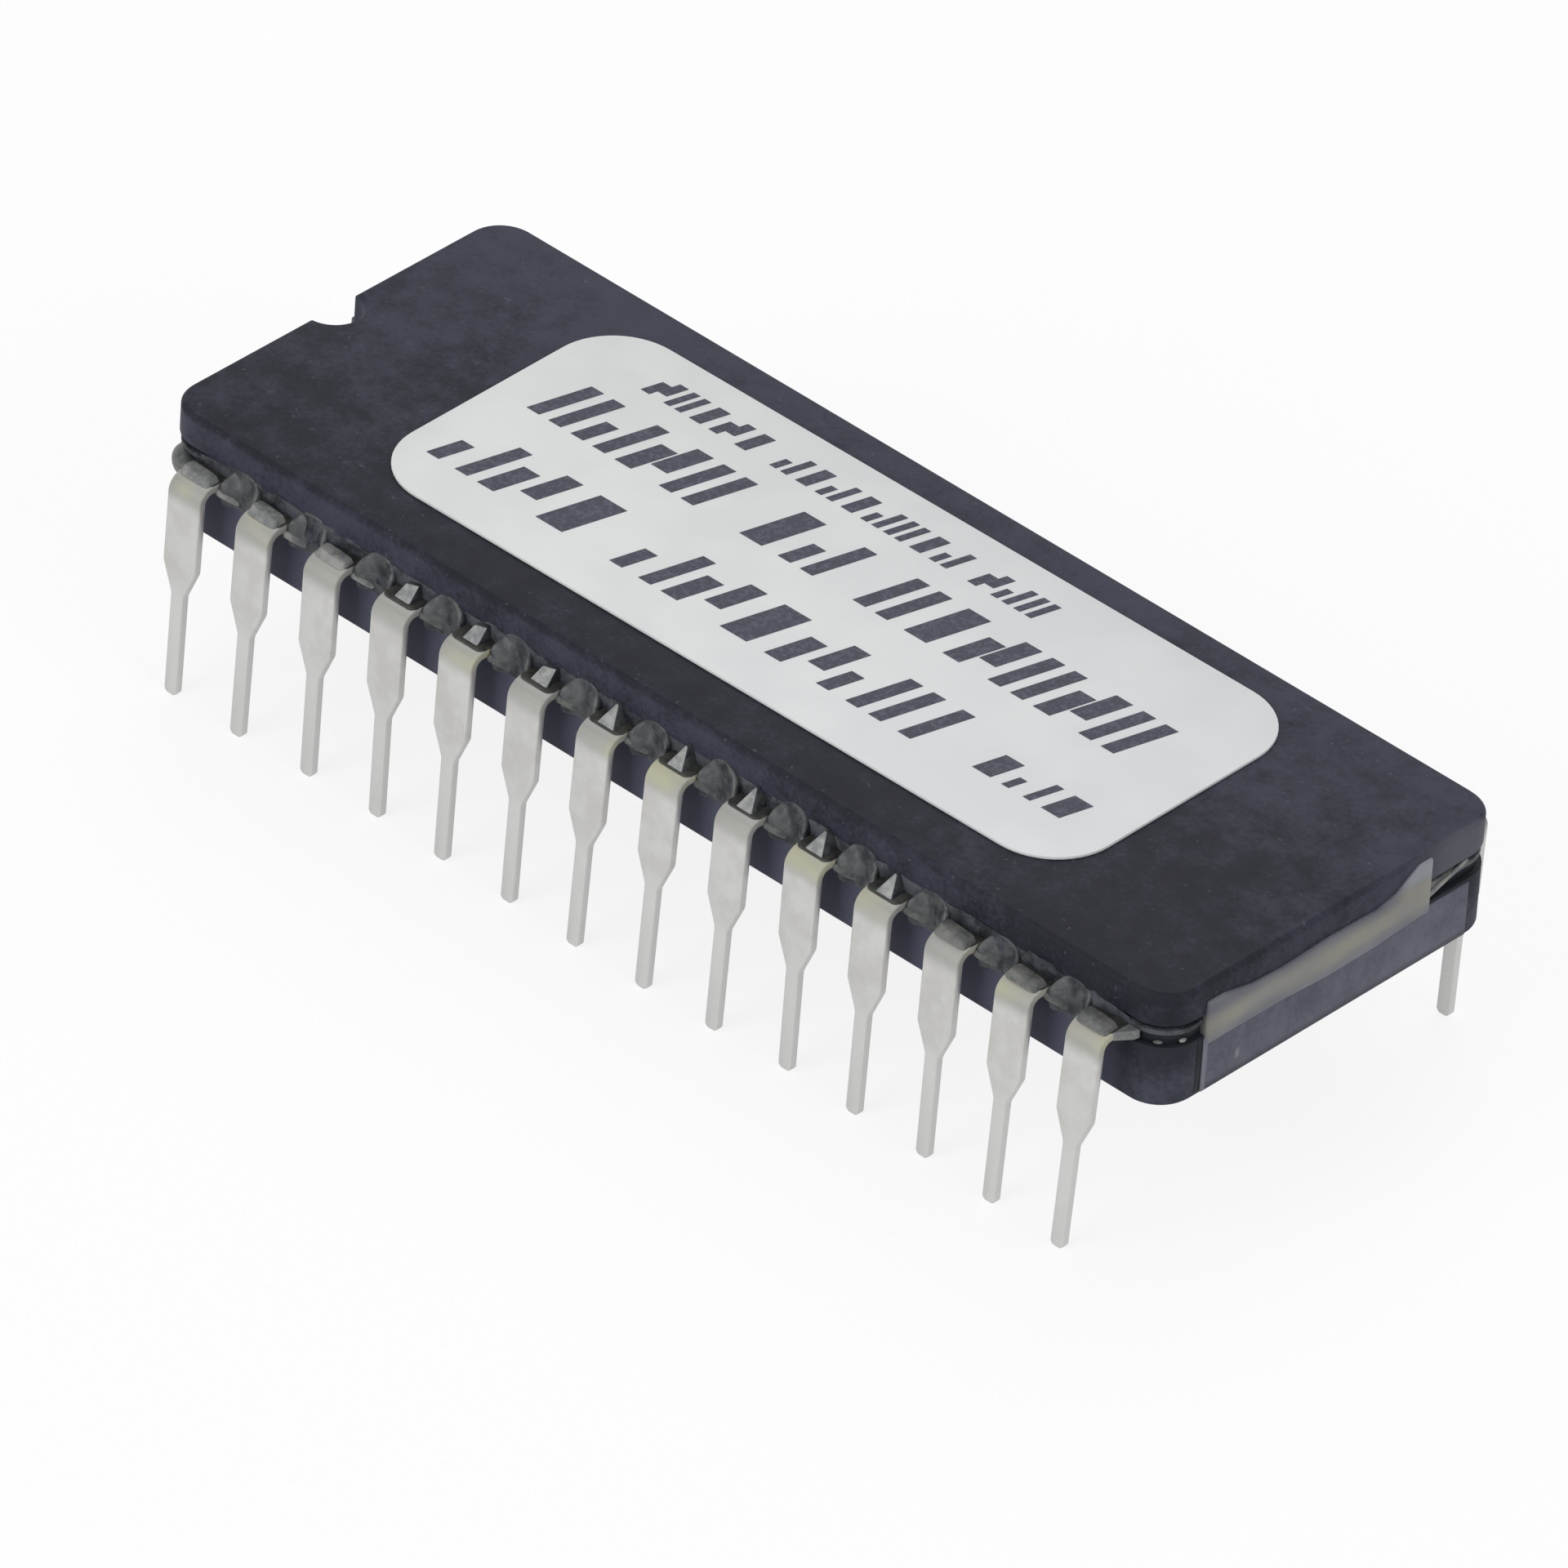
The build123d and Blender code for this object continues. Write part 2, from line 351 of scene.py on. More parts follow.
class Finish:
    """A node tree under construction, of a material or of the world."""

    def __init__(self, owner):
        owner.use_nodes = True
        self.owner = owner
        self.tree = owner.node_tree

    def node(self, kind, settings=None, inputs=None, output=0):
        """Adds a node: its settings first, then the values or links of its sockets."""
        added = self.tree.nodes.new(kind)
        for name, value in (settings or {}).items():
            if name == "stops":
                for index, (place, colour) in enumerate(value):
                    ramp = added.color_ramp.elements
                    stop = ramp[index] if index < 2 else ramp.new(place)
                    stop.position = place
                    stop.color = (*colour, 1)
            else:
                setattr(added, name, value)
        for socket, value in (inputs or {}).items():
            self.feed(added.inputs[socket], value)
        return Signal(self, added.outputs[output])

    def feed(self, socket, value):
        """Links a signal to a socket, or writes a plain value or colour on it."""
        if isinstance(value, Signal):
            self.tree.links.new(value.socket, socket)
        elif isinstance(value, tuple) and len(value) == 3 and socket.type == "RGBA":
            socket.default_value = (*value, 1)
        else:
            socket.default_value = value

    def math(self, operation, first, second=0.0):
        """A Math node; the operation is called as Blender calls it."""
        return self.node("ShaderNodeMath", {"operation": operation}, {0: first, 1: second})

    def place(self, axis):
        """The coordinate of the shaded point along one axis of the chip, in millimetres."""
        spot = self.node("ShaderNodeTexCoord", output="Object")
        return self.node("ShaderNodeSeparateXYZ", inputs={0: spot}, output=axis) * (1 / mm)

    def grain(self, size, detail=2.0, stretch=(1, 1, 1), colour=False):
        """Noise whose lumps are about size millimetres across, drawn out along an axis by stretch."""
        spot = self.node("ShaderNodeTexCoord", output="Object")
        spot = self.node("ShaderNodeMapping", inputs={"Vector": spot, "Scale": tuple(1 / s for s in stretch)})
        values = {"Vector": spot, "Scale": 1 / (size * mm), "Detail": detail, "Roughness": 0.6}
        return self.node("ShaderNodeTexNoise", inputs=values, output=1 if colour else 0)

    def rise(self, value, low, high, bottom=0.0, top=1.0):
        """A smooth step of a signal from bottom at low to top at high."""
        values = {"Value": value, "From Min": low, "From Max": high, "To Min": bottom, "To Max": top}
        return self.node("ShaderNodeMapRange", {"interpolation_type": "SMOOTHSTEP"}, values)

    def strip(self, value, low, high, soft):
        """1 between low and high and 0 outside, with soft edges."""
        return self.rise(value, low - soft, low + soft) * (1 - self.rise(value, high - soft, high + soft))

    def blend(self, first, second, share):
        """Two colours mixed by a share."""
        return self.node("ShaderNodeMix", {"data_type": "RGBA"}, {0: share, 6: first, 7: second}, output=2)

    def surface(self, **sockets):
        """Feeds the shader's sockets; coat_weight stands for the one called Coat Weight."""
        for name, value in sockets.items():
            self.feed(self.shader.inputs[name.replace("_", " ").title()], value)

    def bumps(self, height, distance, strength=1.0):
        """A normal that a height signal tilts; distance in millimetres is what a height of 1 means."""
        values = {"Height": height, "Distance": distance * mm, "Strength": strength}
        return self.node("ShaderNodeBump", inputs=values)


def finish(name, constants):
    """The Finish of a new material, with constants written on its Principled shader."""
    made = Finish(bpy.data.materials.new(name))
    made.shader = made.tree.nodes["Principled BSDF"]
    for socket, value in constants.items():
        made.feed(made.shader.inputs[socket], value)
    return made


def screen(red, green, blue):
    """A colour as a screen shows it, 0 to 255, turned into the linear numbers that Blender uses."""
    values = (value / 255 for value in (red, green, blue))
    return tuple(v / 12.92 if v <= 0.04045 else ((v + 0.055) / 1.055) ** 2.4 for v in values)


# %% [markdown]
# ## The white room
#
# The floor and the world are pure white only to the camera and in mirror images. For scattered light
# they are dimmer, so that the white background doesn't flood the chip with light. A ray knows what kind
# it is, and the Light Path node passes that on.

# %% Floor and world
def seen_share(room):
    """1 for rays from the camera, from a mirror image or through glass, and 0 for scattered light."""
    camera_ray, glossy_ray, glass_ray = (room.node("ShaderNodeLightPath", output=f"Is {kind} Ray")
                                         for kind in ("Camera", "Glossy", "Transmission"))
    return room.math("MINIMUM", camera_ray + glossy_ray + glass_ray, 1.0)


sky = Finish(bpy.context.scene.world or bpy.data.worlds.new("white_room"))
bpy.context.scene.world = sky.owner
glow = sky.tree.nodes["Background"]
sky.feed(glow.inputs["Color"], (1.0, 1.0, 1.0))
sky.feed(glow.inputs["Strength"], 0.46 + seen_share(sky) * 0.54)

pick_nothing()
bpy.ops.mesh.primitive_plane_add(size=3)
floor = bpy.context.object
floor.name = "studio_floor"
paper = Finish(bpy.data.materials.new("white_sweep"))
matte = paper.node("ShaderNodeBsdfDiffuse", inputs={"Color": (0.95, 0.95, 0.95)})
bright = paper.node("ShaderNodeEmission", inputs={"Color": (1.0, 1.0, 1.0), "Strength": 1.0})
mixed = paper.node("ShaderNodeMixShader", inputs={0: seen_share(paper) * 0.85, 1: matte, 2: bright})
paper.feed(paper.tree.nodes["Material Output"].inputs["Surface"], mixed)
floor.data.materials.append(paper.owner)
print("floor at z = 0, where the lead tips stand")

# %% [markdown]
# ## Dark ceramic
#
# The package is pressed alumina, coloured almost black, and fired. It is matt, and its colour drifts a
# little from place to place. Three sizes of noise give that: broad drift, mottle and grain. A fourth
# noise shows only at its highest peaks, as a few pale specks. Mottle and grain also go into the bump,
# so that the surface isn't glassy.

# %% Ceramic finish
def ceramic(name, dark, light, gloss=0.62, across=0.0, below=None, above=None):
    """Mottled ceramic; across paints a sheen that makes the far side lighter, below and above are (level,
    soft, share).

    What lies below a level gets painted light, lighter by that share, most at the notched end, and above it
    as said.
    """
    clay = finish(name, {"Specular IOR Level": 0.16})
    drift = clay.grain(6.0, detail=1.0)
    mottle = clay.grain(0.9, detail=3.0)
    grain = clay.grain(0.16, detail=2.0)
    # across paints a sheen: the colour grows lighter towards the far side
    share = drift * 0.35 + mottle * 0.35 + grain * 0.30 + clay.place("Y") * (across / side)
    # below paints light on the faces under a level, which on the lid are its sides
    if below:
        level, soft, more = below
        low = 1 - clay.rise(clay.place("Z"), level - soft, level + soft)
        share = share + low * (1 - clay.rise(clay.place("X"), 0.0, 13.0, 0.0, 0.8)) * more
    if above:
        level, soft, more = above
        share = share + clay.rise(clay.place("Z"), level - soft, level + soft) * more
    clay.colour = clay.blend(screen(*dark), screen(*light), clay.rise(share, 0.34, 0.66))
    speck = clay.rise(clay.grain(0.14, detail=0.0), 0.80, 0.85)
    clay.colour = clay.blend(clay.colour, screen(94, 96, 104), speck * 0.35)
    clay.surface(base_color=clay.colour, roughness=gloss + grain * 0.12 - mottle * 0.08,
                 normal=clay.bumps(grain * 0.6 + mottle * 0.8, 0.02, 0.5))
    return clay


# The lid gets a painted sheen towards its far side, and painted light on its sides, most at the notched end.
lid_clay = ceramic("dark_ceramic", (26, 27, 35), (55, 57, 70), across=0.10, below=(8.05, 0.12, 0.15))
base_clay = ceramic("dark_ceramic_base", (34, 36, 45), (62, 64, 76), above=(5.8, 0.6, -0.14))
land_clay = ceramic("glazed_ceramic_land", (68, 70, 81), (90, 92, 105), gloss=0.48)
print("ceramic finishes", lid_clay.owner.name, base_clay.owner.name, land_clay.owner.name)

# %% [markdown]
# A few places have a colour of their own, and some get painted light or shade. A haze of glass lies on
# the lid at the right end, beyond the peak of the band. On the base, the long sides get painted light
# between the leads, and the uppermost rim is darker beside the glass. On the flat of its right end the
# sharp near edge gets a painted highlight, the lowest rim painted shade, and there is one small pale chip.

# %% Wear and painted light on the ceramic
haze = lid_clay.rise(lid_clay.place("X"), end - 0.2, end - 0.06)
haze = haze * lid_clay.rise(lid_clay.place("Y"), 2.4, 4.9)
lid_clay.surface(base_color=lid_clay.blend(lid_clay.colour, screen(86, 86, 95), haze * 0.75))

# painted light on the long sides of the base between the leads, as if light came up from below
painted_light_flank = base_clay.rise(base_clay.math("ABSOLUTE", base_clay.place("Y")), side - 0.08, side - 0.02)
painted_light_flank = painted_light_flank * (1 - base_clay.rise(base_clay.math("ABSOLUTE", base_clay.place("X")), 16.6, 17.2))
painted_light_sides = base_clay.blend(base_clay.colour, screen(87, 88, 106), painted_light_flank * 0.6)
# the uppermost rim of the base is darker beside the glass
darker_upper_rim = base_clay.rise(base_clay.place("Z"), 6.30, 6.44)
base_clay.surface(base_color=base_clay.blend(painted_light_sides, screen(32, 35, 40), darker_upper_rim * 0.85))

along = land_clay.place("Y")
height = land_clay.place("Z")
# painted shade along the lowest rim of the land, whose rounded edge faces down
painted_rim = 1 - land_clay.rise(height, 4.76, 4.96)
# painted highlight along the sharp near edge of the land, where its step catches the light
painted_edge_highlight = land_clay.strip(along, -5.12, -4.90, 0.05)
chip = land_clay.strip(along, -3.75, -3.61, 0.06) * land_clay.strip(height, 5.15, 5.45, 0.1)
worn = land_clay.blend(land_clay.colour, screen(50, 51, 59), painted_rim * 0.7)
worn = land_clay.blend(worn, screen(112, 115, 126), painted_edge_highlight * 0.85)
land_clay.surface(base_color=land_clay.blend(worn, screen(128, 132, 136), chip * 0.7))
print("haze on the lid, pale sides and a dark rim on the base, a rubbed edge and a chip on its end")

# %% [markdown]
# ## Seal glass
#
# The seam is a lead glass paste that melted at about 450 degrees and was squeezed out between the
# slabs. Where it is thick it is dark, and where it is drawn out thin over metal or ceramic it dries
# paler. So one function makes every glass here, cloudy and finely specked, from its darkest and its
# lightest colour, and each place gets the pair of colours that it needs.

# %% Glass finishes
def fused_glass(name, dark, light, rough, cloud=1.2, shine=1.0):
    """Cloudy glass between two colours; cloud is the size of its clouds, shine scales its gloss."""
    glass = finish(name, {"IOR": 1.6, "Coat Roughness": 0.12, "Specular IOR Level": 0.5 * shine})
    clouds = glass.grain(cloud, detail=3.0)
    specks = glass.grain(0.12, detail=1.0)
    share = glass.rise(clouds * 0.8 + specks * 0.2, 0.38, 0.62)
    glass.surface(
        base_color=glass.blend(screen(*dark), screen(*light), share),
        roughness=rough + clouds * 0.14,
        coat_weight=(0.08 + clouds * 0.2) * shine,
        normal=glass.bumps(clouds + specks * 0.2, 0.03, 0.5),
    )
    return glass.owner


seam_glass = fused_glass("dark_seal_glass", (20, 22, 27), (34, 36, 42), 0.46, shine=0.2)
fillet_glass = fused_glass("dark_fillet_glass", (32, 34, 39), (72, 74, 80), 0.44, cloud=0.7, shine=0.3)
film_glass = fused_glass("thin_stub_glass", (44, 45, 44), (66, 67, 62), 0.40, cloud=0.5, shine=0.4)
foot_glass = fused_glass("drawn_out_glass", (78, 80, 82), (104, 106, 103), 0.44, cloud=0.4, shine=0.3)
# pale glass that paints the reflection on the fronts of slivers and facets
painted_reflection_glass = fused_glass("root_glass_painted_reflection", (122, 124, 125), (156, 157, 155), 0.38, cloud=0.3, shine=0.5)
mound_glass = fused_glass("grey_root_glass", (100, 102, 103), (134, 135, 132), 0.40, cloud=0.5, shine=0.5)
dull_glass = fused_glass("dull_root_glass", (78, 80, 81), (106, 107, 103), 0.44, cloud=0.5, shine=0.4)
print("seven glasses, from the dark seam to the bright slivers at the roots")

# %% [markdown]
# Between two leads the glass is a curtain of uneven thickness. It is mottled, paler in a patch of
# painted light at its left, and a thin broken line of painted highlight runs along its right rim. A
# material can know that without an image: the place along X, wrapped at the lead pitch, tells how far
# the point is from the middle of its own gap, and the same material then fits all 26 pads. The far row
# is turned round, so there the place is mirrored.

# %% Pad finish
curtain = finish("squeezed_glass", {"IOR": 1.5, "Specular IOR Level": 0.22})
pad_middle = 6.80
clouds = curtain.grain(0.38, detail=3.0)
facing = curtain.math("SIGN", curtain.place("Y")) * -1.0
across = curtain.math("FLOORED_MODULO", curtain.place("X") + lead_pitch / 2, lead_pitch) - lead_pitch / 2
across = across * facing
height = curtain.place("Z") - (pad_middle + 0.05)
reach = curtain.math("SQRT", across * across + height * height)
# painted light: a pale patch on the left of the hollow, where it faces the light
painted_light_patch_x = across + 0.33
painted_light_patch = curtain.math("SQRT", painted_light_patch_x * painted_light_patch_x * 5.0 + height * height * 2.4)
painted_light_patch = 1 - curtain.rise(painted_light_patch, 0.25, 0.95)
# painted highlight: a thin broken pale arc along the pad's right rim
painted_rim = curtain.strip(reach, 0.52, 0.60, 0.05) * curtain.rise(across, 0.05, 0.3)
painted_rim = painted_rim * curtain.rise(clouds, 0.40, 0.56, 0.25, 1.0)
share = curtain.rise(clouds, 0.36, 0.64) * 0.55 + painted_light_patch * 0.55
squeezed = curtain.blend(screen(40, 42, 48), screen(88, 91, 91), share)
curtain.surface(
    base_color=curtain.blend(squeezed, screen(104, 106, 104), painted_rim * 0.65),
    roughness=0.40 + clouds * 0.14,
    coat_weight=0.04 + painted_rim * 0.1,
    normal=curtain.bumps(clouds, 0.04, 0.5),
)
pad_glass = curtain.owner
print("pad finish wraps every", lead_pitch, "mm")

# %% [markdown]
# The band on each end is the same glass as a broad streak: warm and pale along its middle, and
# thinning to the grey of the ceramic above and below, and a little towards its near end. Its peak stays
# pale to the top, but cooler.

# %% Band finish
streak = finish("pale_band_glass", {"IOR": 1.6, "Specular IOR Level": 0.35, "Coat Roughness": 0.15})
clouds = streak.grain(1.6, detail=3.0, stretch=(1, 2.5, 1))
along = streak.place("Y")
height = streak.place("Z")
level = height + (clouds - 0.5) * 0.3
over = streak.rise(level, 6.88, 7.34) * (1 - streak.rise(along, 2.1, 2.9))
thick = streak.rise(level, 6.24, 6.74) * (1 - over) * streak.rise(along, -5.0, -3.6, 0.6, 1.0)
warm = streak.blend(screen(109, 109, 107), screen(123, 120, 105), streak.rise(clouds, 0.36, 0.64))
warm = streak.blend(warm, screen(122, 125, 132), streak.rise(height, 7.3, 7.7))
grey = streak.blend(screen(70, 72, 82), screen(92, 93, 101), streak.rise(clouds, 0.38, 0.62))
streak.surface(
    base_color=streak.blend(grey, warm, thick),
    roughness=0.34 + clouds * 0.14,
    coat_weight=0.05 + clouds * 0.15,
    normal=streak.bumps(clouds, 0.05, 0.5),
)
band_glass = streak.owner
print("band finish ready")

# %% [markdown]
# ## Tinned leads
#
# The leads are punched from sheet and dipped in tin, which sets to a satin silver. At the bends it is
# dull, most of all at the leads near the row's ends, and where flux stayed it yellowed over the years.
# Punching leaves faint lines along the metal. The lines are noise drawn out along the height. The dull
# zone comes in with one smooth step of the height and fades with another, and the yellow is a band at
# the bends times noise that is broader than a lead, so that only some leads have it.

# %% Tin finish
tin = finish("tinned_metal", {})
height = tin.place("Z")
lines = tin.grain(0.07, detail=2.0, stretch=(1, 1, 14))
bloom = tin.grain(0.8, detail=3.0)
tip = 1 - tin.rise(height, 2.6, 4.4)
outer = tin.rise(tin.math("ABSOLUTE", tin.place("X")), 9.5, 12.0)
dull = tin.rise(height + outer * 0.10, 6.05, 6.66) * tin.rise(height, 6.77, 6.87, 1.0, 0.6)
bend_zone = tin.strip(height, 6.45, 7.1, 0.22)
aged = tin.rise(tin.grain(2.3, detail=1.0, stretch=(1, 1, 6)), 0.48, 0.66) * bend_zone
silver = tin.blend(screen(188, 187, 184), screen(197, 197, 195), tin.rise(bloom, 0.35, 0.65))
silver = tin.blend(silver, screen(201, 201, 200), tip * 0.8)
silver = tin.blend(silver, screen(144, 144, 139), dull * 0.85)
tin.surface(
    base_color=tin.blend(silver, screen(182, 180, 146), aged * 0.6),
    metallic=0.72 - aged * 0.25 - dull * 0.35,
    roughness=0.44 + bloom * 0.05 + aged * 0.1 + dull * 0.22,
    normal=tin.bumps(lines, 0.006, 0.4),
)
print("tin finish ready")

# %% [markdown]
# ## Paper and ink
#
# The label is a coated paper sticker. It keeps light away from the window, so it is plain, smooth and
# nearly white, and a very little bluer towards its right end. Paper is never quite even: broad faint
# clouds in its colour and a very low waviness in its surface are enough.

# %% Paper and ink finishes
label = finish("label_paper_coated", {"Specular IOR Level": 0.25})
clouds = label.grain(3.5, detail=2.0)
fibres = label.grain(0.12, detail=2.0)
tone = label.blend(screen(212, 216, 215), screen(219, 222, 220), label.rise(clouds, 0.35, 0.65))
cool = label.rise(label.place("X"), -13.0, 13.0, 0.0, 0.3)
label.surface(base_color=label.blend(tone, screen(213, 216, 221), cool), roughness=0.55 + fibres * 0.2,
              normal=label.bumps(clouds + fibres * 0.05, 0.05, 0.4))

ink = finish("label_ink", {"Specular IOR Level": 0.3})
dots = ink.grain(0.14, detail=2.0)
print_tone = ink.blend(screen(50, 53, 66), screen(78, 82, 94), ink.rise(dots, 0.42, 0.70))
ink.surface(base_color=print_tone, roughness=0.5 + dots * 0.2)
print("paper and ink ready")

# %% [markdown]
# ## What lies inside
#
# The die, its gold bed, the wires and the window can't be seen while the label is on. They are CAD
# nodes with the right shape, so they stay, and only get finishes of their own: polished silicon with
# the faint colour of its thin films, gold, aluminium, and clear fused silica.

# %% Finishes of the hidden parts
silicon = finish("polished_silicon", {"IOR": 2.6})
cells = silicon.rise(silicon.math("PINGPONG", silicon.place("X") * 2.0, 0.5), 0.05, 0.12)
cells = cells * silicon.rise(silicon.math("PINGPONG", silicon.place("Y") * 1.6, 0.5), 0.05, 0.12)
thin_film = silicon.blend(screen(96, 92, 120), screen(120, 138, 150), silicon.grain(1.4))
silicon.surface(base_color=silicon.blend(screen(70, 72, 84), thin_film, cells), roughness=0.12 + cells * 0.1)

gold = finish("gold_bed", {"Metallic": 1.0})
scuffs = gold.grain(0.2, detail=3.0)
gold.surface(base_color=gold.blend(screen(196, 160, 88), screen(222, 190, 120), scuffs),
             roughness=0.3 + scuffs * 0.2)

wire = finish("aluminium_wire", {"Metallic": 1.0})
drawn = wire.grain(0.05, detail=1.0)
wire.surface(base_color=wire.blend(screen(205, 206, 208), screen(230, 231, 233), drawn),
             roughness=0.28 + drawn * 0.1)

silica = finish("window_silica", {"IOR": 1.46, "Transmission Weight": 1.0})
veil = silica.grain(2.0)
silica.surface(base_color=silica.blend(screen(232, 238, 236), screen(244, 247, 246), veil),
               roughness=0.03 + veil * 0.05)

for node, material in (("silicon_die", silicon), ("die_attach", gold), ("bond_wires", wire),
                       ("window_glass", silica)):
    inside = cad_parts[node]
    inside.data.materials.clear()
    inside.data.materials.append(material.owner)
    print(node, "has", material.owner.name)

# %% [markdown]
# ## Lid and base
#
# The two slabs are right in size, but the CAD edges are sharp chamfers, while fired ceramic has soft
# ones. Each slab is a copy of its CAD node: its loose triangles are joined, and a bevel rounds every
# edge by a few hundredths of a millimetre. That small radius is what catches the light.

# %% Round the ceramic
lid = merged_copy("ceramic_lid", "lid_slab")
round_edges(lid, 0.07, segments=3, angle=20)
smooth(lid, 30)
dress(lid, lid_clay.owner, "ceramic", "ceramic_lid")

base = merged_copy("ceramic_base", "base_slab")
round_edges(base, 0.06, segments=3, angle=20)
smooth(base, 30)
dress(base, base_clay.owner, "ceramic", "ceramic_base")
print("lid", len(lid.data.polygons), "faces, base", len(base.data.polygons), "faces")

# %% [markdown]
# ## Leads
#
# Every lead leans a little differently, so each one is copied from its own CAD node and keeps its
# lean. Punching rolls the edges of the metal over and the tin bath rounds them further, which the
# bevel stands for.

# %% Round the leads
for number in range(1, 2 * leads_per_row + 1):
    lead = merged_copy(f"lead_{number:02d}", f"tinned_lead_{number:02d}")
    round_edges(lead, 0.045, segments=2, angle=40)
    smooth(lead, 35)
    dress(lead, tin.owner, "tinned_lead", f"lead_{number:02d}")
print("28 leads,", len(lead.data.polygons), "faces in the last")

# %% [markdown]
# ## The seam
#
# Between the slabs lies the glass itself, set back a little from their sides. It starts as a cube,
# gets the rounded corners of the package by a bevel on its four upright edges, and two shapes are cut
# out of it: the round notch and the cavity that keeps the die and its wires free. Right under the lid
# the glass wetted the ceramic and came almost to its side. That is a second, thinner ring of the same
# kind, so both come from one function.

# %% Model the seam
cavity_x, cavity_y = 5.05, 4.85      # half of the cavity's length and width
under_seam, over_seam = 6, 8         # levels between which the cutting tools reach


def notch_tool(radius):
    """An upright rod through the notch, to cut it out of a piece."""
    return rod("notch_tool", radius, (-end, 0, under_seam), (-end, 0, over_seam), 48)


def seam_ring(name, inset, low, high):
    """A flat block with the package's round corners, its notch and its cavity."""
    ring = block(name, (-end + inset, -side + inset, low), (end - inset, side - inset, high))
    choose_edges(ring, lambda middle, way: abs(way.z) > 0.9)
    bpy.ops.mesh.bevel(offset=(corner_radius - inset) * mm, segments=8, profile=0.5)
    pick(ring)
    carve(ring, notch_tool(notch_radius + inset))
    carve(ring, block("cavity_tool", (-cavity_x, -cavity_y, under_seam), (cavity_x, cavity_y, over_seam)))
    round_edges(ring, 0.03, segments=2)
    smooth(ring)
    return ring


seam = seam_ring("glass_seam", 0.16, base_high.z - 0.03, lid_low.z + 0.03)
dress(seam, seam_glass, "seal_glass", "seal_glass")
collar = seam_ring("glass_collar", 0.05, 6.86, lid_low.z + 0.02)
dress(collar, fillet_glass, "seal_glass")
print("seam from", round(base_high.z, 2), "to", round(lid_low.z, 2), "with a collar under the lid")

# %% [markdown]
# Along the two rows the glass came out of the seam and closed it over the leads. It is a long block
# whose upper front edge is drawn back, so that it dies out on the side of the lid. It is cut across
# near its ends with bisect, and its two end faces are made small and drawn in. Poured glass never ends
# in a straight line, so the upper front edge is divided and its points are shaken a little, with a
# fixed seed.

# %% Model the fillet over the leads
fillet_end = 17.1
for row, turned in rows:
    fillet = block(f"glass_fillet_{row}", (-fillet_end, -side - 0.07, 6.46), (fillet_end, -side + 0.15, 7.30))
    choose_points(fillet, lambda spot: spot.z > 7 and spot.y < -side)
    move(y=0.062)
    for place in (1.2 - fillet_end, fillet_end - 1.2):
        choose_faces(fillet, lambda middle, normal: True)
        bpy.ops.mesh.bisect(plane_co=(place * mm, 0, 0), plane_no=(1, 0, 0))
    choose_points(fillet, lambda spot: abs(spot.x) > fillet_end - 0.1)
    stretch(1, 0.2, 0.55, (0, -side + 0.1, 6.75))
    choose_edges(fillet, lambda middle, way: abs(way.x) > 0.9 and abs(middle.x) < 1)
    bpy.ops.mesh.subdivide(number_cuts=60)
    choose_points(fillet, lambda spot: abs(spot.x) < fillet_end - 1.3 and spot.z > 7 and spot.y < -side)
    bpy.ops.transform.vertex_random(offset=0.06 * mm, uniform=1.0, normal=0.0, seed=7)
    round_edges(fillet, 0.02, segments=2, angle=40)
    smooth(fillet, 50)
    if turned:
        fillet.data.transform(far_row)
    dress(fillet, fillet_glass, "seal_glass")
print("fillets along both rows")

# %% [markdown]
# ## Pads of glass between the leads
#
# When the slabs were pressed together, glass came out between the leads and clung to both of its
# neighbours, as water does between two fingers. So each pad is hollow in front: it stands out along
# the two stubs, sinks in between them, and ends above in an arch on the side of the lid.
#
# The pad starts as a short cylinder that lies along Y. Its lower half is flattened to a shallow
# bow and drawn down. Its front is extruded four times and drawn in each time, so that there are rings
# of points to shape. Then the points beside the stubs are pulled forward, further on the left than on
# the right, with proportional editing, which takes their neighbours along. A subdivision makes it all
# flow, and a smoothing irons it.

# %% Model one pad
pad_foot = 6.16


def pull(x=0.0, y=0.0, z=0.0, reach=0.4):
    """Moves what is selected, and points within reach millimetres follow less and less."""
    bpy.ops.transform.translate(
        value=(x * mm, y * mm, z * mm),
        use_proportional_edit=True,
        proportional_edit_falloff="SMOOTH",
        proportional_size=reach * mm,
        use_proportional_connected=True,
    )


def iron(piece, rounds):
    """Evens out small creases, as the surface tension of molten glass does."""
    modify(piece, "SMOOTH", factor=0.6, iterations=rounds)


pad_radius = 0.67
pad = rod("pad_master", pad_radius, (0, -side + 0.22, pad_middle), (0, -side - 0.08, pad_middle), 28)
choose_points(pad, lambda spot: spot.z < pad_middle - 0.01)
stretch(1, 1, 0.2, (0, -side, pad_middle))
move(z=pad_foot + 0.1 - pad_middle)
choose_faces(pad, lambda middle, normal: normal.y < -0.9)
for out, share in ((0.035, 0.93), (-0.005, 0.84), (-0.02, 0.70), (-0.01, 0.45)):
    bpy.ops.mesh.extrude_region_move(TRANSFORM_OT_translate={"value": (0, -out * mm, 0)})
    stretch(share, 1, share, (0, -side, pad_middle))
for hand, out in ((-1, 0.30), (1, 0.15)):
    choose_points(pad, lambda spot: spot.x * hand > 0.5 and spot.y < -side - 0.05 and 6.3 < spot.z < 7.0)
    pull(y=-out, reach=0.36)
choose_points(pad, lambda spot: spot.z > 7.2 and spot.y < -side - 0.02)
pull(y=0.07, reach=0.35)
soften(pad, 2)
iron(pad, 8)
smooth(pad, 80)
print("pad", [round(value / mm, 2) for value in pad.dimensions], "mm,", len(pad.data.polygons), "faces")

